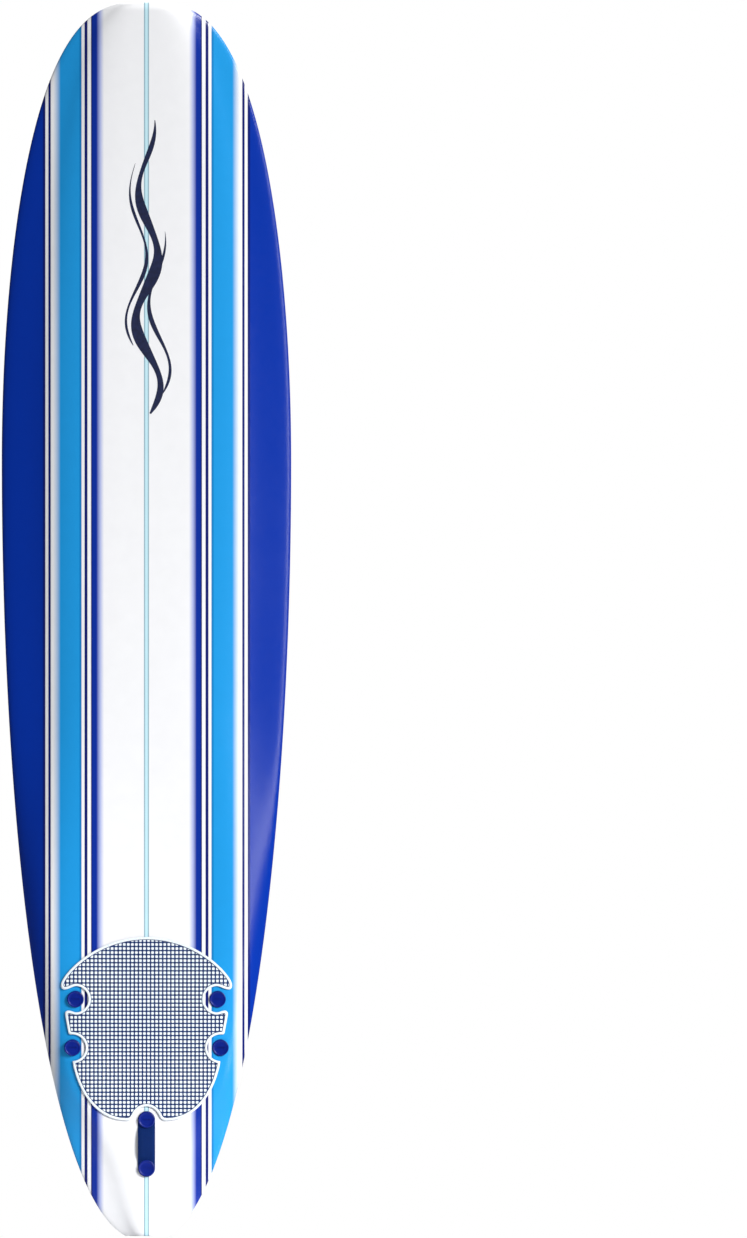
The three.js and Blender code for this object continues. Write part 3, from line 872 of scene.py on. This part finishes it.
def inward(outline):
    """Unit vectors from each point of a counter-clockwise outline to its inside."""
    forward = np.roll(outline, -1, axis=0) - np.roll(outline, 1, axis=0)
    forward /= np.linalg.norm(forward, axis=1)[:, None]
    return np.column_stack([-forward[:, 1], forward[:, 0]])


def shrunk(outline, distance, steps=12):
    """The outline moved inwards a little at a time and evened out, so that tight tips stay clean."""
    for _ in range(steps):
        outline = outline + inward(outline) * distance / steps
        smooth = (np.roll(outline, 1, axis=0) + np.roll(outline, -1, axis=0)) / 2
        outline = lerp(outline, smooth, 0.18)
    return outline


def over_deck(outline, height):
    """An outline in X and Z laid on the deck, at that height above it."""
    y = at_height(deck_at(outline[:, 0], outline[:, 1]) + height)
    return np.column_stack([outline[:, 0], y, outline[:, 1]])


def pad_border(outline):
    """The raised border: its outer wall, rounded top and inner wall."""
    top = GAP + PAD["thickness"]
    low = GAP + PAD["base"] / 2
    edge = 0.0008
    steps = [
        (0.0, low), (0.0, top - edge), (0.3 * edge, top - 0.3 * edge), (edge, top),
        (PAD["border"] - edge, top), (PAD["border"] - 0.3 * edge, top - 0.3 * edge),
        (PAD["border"], top - edge), (PAD["border"], low),
    ]
    rings = [over_deck(shrunk(outline, inset) if inset else outline, height) for inset, height in steps]
    return np.concatenate(rings), grid_faces(len(rings), len(outline), True, True)


def pad_base(outline):
    """The pad's thin sheet, laid over the deck and cut to the outline."""
    x = np.linspace(-0.176, 0.176, 27)
    z = np.linspace(0.222, 0.597, 29)
    sheet = np.array([(a, b) for b in z for a in x])
    low = over_deck(sheet, GAP)
    high = over_deck(sheet, GAP + PAD["base"])
    rows, columns = len(z), len(x)
    count = rows * columns
    faces = grid_faces(rows, columns)
    faces += [tuple(count + i for i in reversed(face)) for face in grid_faces(rows, columns)]
    rim = [*range(columns), *range(2 * columns - 1, count, columns)]
    rim += [*range(count - 2, count - columns - 1, -1), *range(count - 2 * columns, 0, -columns)]
    for a, b in zip(rim, rim[1:] + rim[:1]):
        faces.append((b, a, count + a, count + b))
    base = solid("pad_base", [(np.concatenate([low, high]), faces)])
    return combine(base, solid("pad_cutter", [slab(outline, *CUTTER_REACH)]), "INTERSECT")


def pad_block(x, z):
    """One raised square with cut corners and a bevelled top."""
    half = BLOCK["size"] / 2
    cut = half - BLOCK["corner"]
    square = [(half, -cut), (half, cut), (cut, half), (-cut, half)]
    square += [(-half, cut), (-half, -cut), (-cut, -half), (cut, -half)]
    square = np.array(square)
    middle = np.array([x, z])
    top = GAP + PAD["thickness"] - 0.0001
    inner = square * (half - BLOCK["bevel"]) / half
    rings = [
        over_deck(square + middle, GAP + PAD["base"] / 2),
        over_deck(square + middle, top - BLOCK["bevel"]),
        over_deck(inner + middle, top),
    ]
    return loft(rings)


def inside(outline, x, z):
    """Whether a point lies inside a closed outline."""
    following = np.roll(outline, -1, axis=0)
    spans = (outline[:, 1] > z) != (following[:, 1] > z)
    rise = np.where(spans, following[:, 1] - outline[:, 1], 1.0)
    crossing = outline[:, 0] + (z - outline[:, 1]) * (following[:, 0] - outline[:, 0]) / rise
    return np.count_nonzero(spans & (x < crossing)) % 2 == 1


def add_pad():
    outline = even_outline(pad_outline(), 0.0026)
    field = shrunk(outline, PAD["border"] + 0.0012)
    whole, partial = [], []
    pitch = BLOCK["pitch"]
    reach = BLOCK["size"] / 2
    for i in BLOCK_COLUMNS:
        for j in BLOCK_ROWS:
            x, z = (i + 0.5) * pitch, j * pitch
            corners = [inside(field, x + a * reach, z + b * reach) for a in (-1, 1) for b in (-1, 1)]
            if all(corners):
                whole.append(pad_block(x, z))
            elif any(corners):
                partial.append(pad_block(x, z))
    base = pad_base(outline)
    shade(base)
    dress(base, "pad_groove", "pad_foam", "board", "traction_pad")
    edge_blocks = solid("edge_blocks", partial)
    combine(edge_blocks, solid("field_cutter", [slab(field, *CUTTER_REACH)]), "INTERSECT", True)
    trimmed = [v.co[:] for v in edge_blocks.data.vertices]
    trimmed_faces = [tuple(p.vertices) for p in edge_blocks.data.polygons]
    bpy.data.objects.remove(edge_blocks)
    blocks = solid("pad_blocks", [*whole, (trimmed, trimmed_faces)])
    shade(blocks, 25)
    dress(blocks, "pad_top", "pad_foam", "board")
    border = solid("pad_border", [pad_border(outline)])
    shade(border, 50)
    dress(border, "pad_top", "pad_foam", "board")


# ---- The leash strap ----

def add_strap():
    """Webbing laid flat under both centre bolts and arched between them."""
    front, rear = bolts_of("center")
    middle = CENTER_FIN["z"]
    free = BOLT_SPACING / 2 - STRAP["width"] / 2
    half = BOLT_SPACING / 2 + STRAP["width"] / 2
    rings = []
    for d in np.linspace(-half, half, STRAP_STEPS):
        across = np.clip(d / free, -1, 1)
        level = lerp(rear["seat"], front["seat"], (across + 1) / 2) + GAP
        level += STRAP["arch"] * (1 - abs(across) ** 3)
        into_end = max(abs(d) - BOLT_SPACING / 2, 0)
        reach = math.sqrt(max((STRAP["width"] / 2) ** 2 - into_end ** 2, 1e-7))
        groove = RIB["depth"] * (1 - math.cos(2 * math.pi * d / RIB["spacing"])) / 2
        low = level + groove
        high = level + STRAP["thickness"] - groove
        edge = min(0.0006, reach / 2)
        section = [
            (-reach, low + edge), (-reach + edge, low), (0, low), (reach - edge, low),
            (reach, low + edge), (reach, high - edge), (reach - edge, high), (reach / 2, high),
            (0, high), (-reach / 2, high), (-reach + edge, high), (-reach, high - edge),
        ]
        rings.append(np.array([(x, at_height(height), middle + d) for x, height in section]))
    strap = solid("strap_webbing", [loft(rings)])
    radius = BOLT["radius"] + GAP
    holes = []
    for b in (front, rear):
        low, high = at_height(b["seat"] - 0.01), at_height(b["seat"] + 0.02)
        holes.append(revolve([(0, low), (radius, low), (radius, high), (0, high)], b["x"], b["z"], 32))
    combine(strap, solid("strap_holes", holes), "DIFFERENCE")
    shade(strap, 50)
    dress(strap, "strap", "webbing", "leash_strap", "leash_strap")


# ---- Fins, bolts, sleeves and inserts ----

def stadium(length, width, count=24):
    radius = width / 2
    straight = length / 2 - radius
    ends = [arc(0, straight, radius, 0, math.pi, count)]
    ends.append(arc(0, -straight, radius, math.pi, 2 * math.pi, count))
    return np.concatenate(ends)


def fin_plate():
    thick = FIN_PLATE["thickness"]
    rings = []
    edge = [
        (0.0004, 0), (0, 0.0004), (0, thick - 0.0012), (0.0004, thick - 0.0003), (0.0013, thick),
    ]
    for inset, y in edge:
        outline = stadium(FIN_PLATE["length"] - 2 * inset, FIN_PLATE["width"] - 2 * inset)
        rings.append(np.column_stack([outline[:, 0], np.full(len(outline), y), outline[:, 1]]))
    return loft(rings)


def fin_blade():
    """Foil sections from the root, which flares into the plate, to the raked tip."""
    first = np.linspace(0, 1, 27) ** 1.7
    second = np.linspace(0, 1, 15)[1:]

    def edge(root, tip):
        return np.concatenate([bezier(np.array(root) / 1000, first), bezier(np.array(tip) / 1000, second)])

    leading = edge([(-2, -1), (30, 14), (76, 42), (93, 84)], [(93, 84), (98, 98), (101, 124), (92, 135)])
    trailing = edge([(-2, 105), (28, 91), (54, 101), (66, 119)], [(66, 119), (73, 130), (80, 144), (89, 138)])
    share = (1 - np.cos(np.linspace(0, math.pi, 22))) / 2
    foil = 5 * (0.2969 * np.sqrt(share) - 0.126 * share - 0.3516 * share ** 2)
    foil += 5 * (0.2843 * share ** 3 - 0.1015 * share ** 4)
    flare = 0.0030
    rings = []
    for front, back in zip(leading, trailing):
        spot = front + (back - front) * share[:, None]
        span, chord = spot[:, 0], spot[:, 1]
        thick = lerp(BLADE_ROOT, BLADE_TIP, np.clip(span / BLADE_SPAN, 0, 1))
        thick = np.minimum(thick, 0.42 * np.linalg.norm(back - front))
        near = np.clip(1 - span / flare, 0, 1)
        swell = flare * (1 - np.sqrt(1 - np.minimum(near, 0.98) ** 2))
        half = np.maximum(thick * foil, 0.0004) + swell
        y = span * SPAN_KEPT + FIN_PLATE["thickness"]
        z = FIN_LEAD - chord
        one = np.column_stack([half, y, z])
        other = np.column_stack([-half, y, z])
        rings.append(np.concatenate([one, other[::-1]]))
    return loft(rings)


def placed(part, matrix):
    points, faces = part
    return [tuple(matrix @ Vector(p)) for p in points], faces


def fin_post(b):
    """A post that the blade's plate pushes into the board, bored for its threaded insert."""
    end = at_height(b["bottom"] + POST["length"])
    root = at_height(b["bottom"] - POST["root"])
    floor = at_height(b["bottom"] + POST["floor"])
    outer, bore, edge = POST["radius"], INSERT["radius"] + GAP, 0.0005
    profile = [(0, floor), (bore, floor), (bore, end), (outer - edge, end), (outer, end + edge)]
    profile += [(outer, root), (0, root)]
    return revolve(profile, b["x"], b["z"])


def add_fin(fin):
    x, z = fin["x"], fin["z"]
    tilt = -math.atan((rocker_at(z - 0.001) - rocker_at(z + 0.001)) / 0.002)
    place = Matrix.Translation((x, at_height(bottom_at(z) - GAP), z))
    place = place @ Matrix.Rotation(tilt, 4, "X") @ Matrix.Rotation(math.radians(fin["toe"]), 4, "Y")
    whole = solid(fin["name"] + "_fin_blade", [placed(fin_plate(), place)])
    combine(whole, solid("blade", [placed(fin_blade(), place)]), "UNION")
    for b in bolts_of(fin["name"]):
        combine(whole, solid("post", [fin_post(b)]), "UNION")
    shade(whole, 32)
    body = fin["name"] + "_fin"
    dress(whole, "fin", "fin_plastic", body, body)


def add_bolt(b):
    """A wide round head with a raised rim, a dish and a slot, on a threaded shank."""
    tip = b["bottom"] + BOLT["tip"]
    top = b["under"] + b["head"]
    dish = 0.0010
    head, shank = BOLT["head"], BOLT["radius"]
    steps = [(0, tip), (shank - 0.001, tip)]
    thread_end = tip + THREAD["length"]
    for height in np.linspace(tip + 0.001, thread_end, 61):
        steps.append((shank, height))
    steps += [
        (shank, b["under"] - 0.0004), (shank + 0.0002, b["under"]), (head - 0.0007, b["under"]),
        (head - 0.0002, b["under"] + 0.0002), (head, b["under"] + 0.0007), (head, top - 0.0015),
        (head - 0.0002, top - 0.0007), (head - 0.0007, top - 0.0002), (head - 0.0014, top),
        (head - 0.0022, top), (head - 0.0028, top - 0.0003), (head - 0.0032, top - dish + 0.0002),
        (head - 0.0038, top - dish), (0.0095, top - dish), (0, top - dish),
    ]

    def thread(y, turn, radius):
        height = BELLY_Y - y
        if radius != shank or height > thread_end + 1e-9 or height < tip + 0.0005:
            return 0.0
        run = min(1.0, (thread_end - height) / 0.002)
        phase = (height / THREAD["pitch"] + turn / (2 * math.pi)) % 1
        return -THREAD["depth"] * run * (1 - abs(2 * phase - 1))

    profile = [(radius, at_height(height)) for radius, height in steps]
    bolt = solid(b["name"] + "_bolt_body", [revolve(profile, b["x"], b["z"], ripple=thread)])
    floor = at_height(top - dish)
    low = (b["x"] - SLOT["length"] / 2, floor - 0.002, b["z"] - SLOT["width"] / 2)
    high = (b["x"] + SLOT["length"] / 2, floor + SLOT["depth"], b["z"] + SLOT["width"] / 2)
    combine(bolt, solid("slot", [brick(low, high)]), "DIFFERENCE")
    shade(bolt, 34)
    node = b["name"] + "_bolt"
    dress(bolt, "bolt", "bolt_plastic", node, node)


def tube(name, b, outer, bore, deck_end, bottom_end):
    """A tube about Y with chamfered ends."""
    edge = 0.0003
    profile = [
        (bore + edge, deck_end), (outer - edge, deck_end), (outer, deck_end + edge),
        (outer, bottom_end - edge), (outer - edge, bottom_end), (bore + edge, bottom_end),
        (bore, bottom_end - edge), (bore, deck_end + edge), (bore + edge, deck_end),
    ]
    piece = solid(name, [revolve(profile, b["x"], b["z"], 48)])
    shade(piece)
    return piece


def add_sleeve(b):
    deck_end = at_height(b["seat"] - (GAP if b["fin"] == "center" else 0))
    bottom_end = at_height(b["bottom"] + SLEEVE["setback"])
    name = b["name"] + "_sleeve"
    sleeve = tube(name + "_tube", b, SLEEVE["radius"], SLEEVE["bore"], deck_end, bottom_end)
    dress(sleeve, "sleeve", "sleeve_plastic", "board", name)


def add_insert(b):
    deck_end = at_height(b["bottom"] + POST["length"] - 0.001)
    name = b["name"] + "_insert"
    bottom_end = deck_end + INSERT["length"]
    insert = tube(name + "_tube", b, INSERT["radius"], INSERT["bore"], deck_end, bottom_end)
    dress(insert, "brass", "insert_brass", b["fin"] + "_fin", name)


# ---- The printed motif ----

def brush_stroke(start, stop, cycles, phase, swing, weight, shift):
    """A ribbon that rolls like a swell along the board and thins towards both ends."""
    t = np.linspace(0, 1, 150)
    z = lerp(start, stop, t)
    fade = lerp(1.0, 0.55, t)
    x = shift + swing * fade * np.sin(2 * math.pi * cycles * t + phase)
    line = np.column_stack([x, z])
    forward = np.gradient(line, axis=0)
    forward /= np.linalg.norm(forward, axis=1)[:, None]
    side = np.column_stack([forward[:, 1], -forward[:, 0]])
    swell = 0.55 + 0.45 * np.sin(2 * math.pi * cycles * t + phase + 0.9) ** 2
    half = weight * fade * swell * np.sin(math.pi * np.clip(t, 0.004, 0.996)) ** 0.45
    left = line - side * half[:, None]
    right = line + side * half[:, None]
    low, high = -0.0001, 0.00022
    rings = [
        np.array([over_deck(p[None], low)[0] for p in (a, b)] + [over_deck(p[None], high)[0] for p in (b, a)])
        for a, b in zip(left, right)
    ]
    return loft(rings)


def add_motif():
    """A generic swell in three brush strokes, printed along the deck's white middle."""
    strokes = [
        brush_stroke(1.625, 2.205, 2.25, 0.2, 0.0270, 0.0150, 0.002),
        brush_stroke(1.665, 1.985, 1.241, 0.36, 0.0250, 0.0058, 0.0235),
        brush_stroke(1.760, 2.120, 1.397, 3.49, 0.0240, 0.0050, -0.0180),
    ]
    for i, stroke in enumerate(strokes):
        motif = solid("motif_stroke_" + str(i + 1), [stroke])
        shade(motif)
        dress(motif, "ink", "deck_foam", "board")


# ---- Assembly ----

add_camera()
add_studio()
add_floor()
add_skins()
add_weld()
add_motif()
add_pad()
add_strap()
for fin in FINS:
    add_fin(fin)
for b in BOLTS:
    add_bolt(b)
    add_sleeve(b)
    add_insert(b)

for node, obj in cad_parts.items():
    if node.startswith("core_"):
        obj.data.materials.clear()
        obj.data.materials.append(LOOKS["core"])
    elif node.startswith("stringer_"):
        obj.data.materials.clear()
        obj.data.materials.append(LOOKS["wood"])
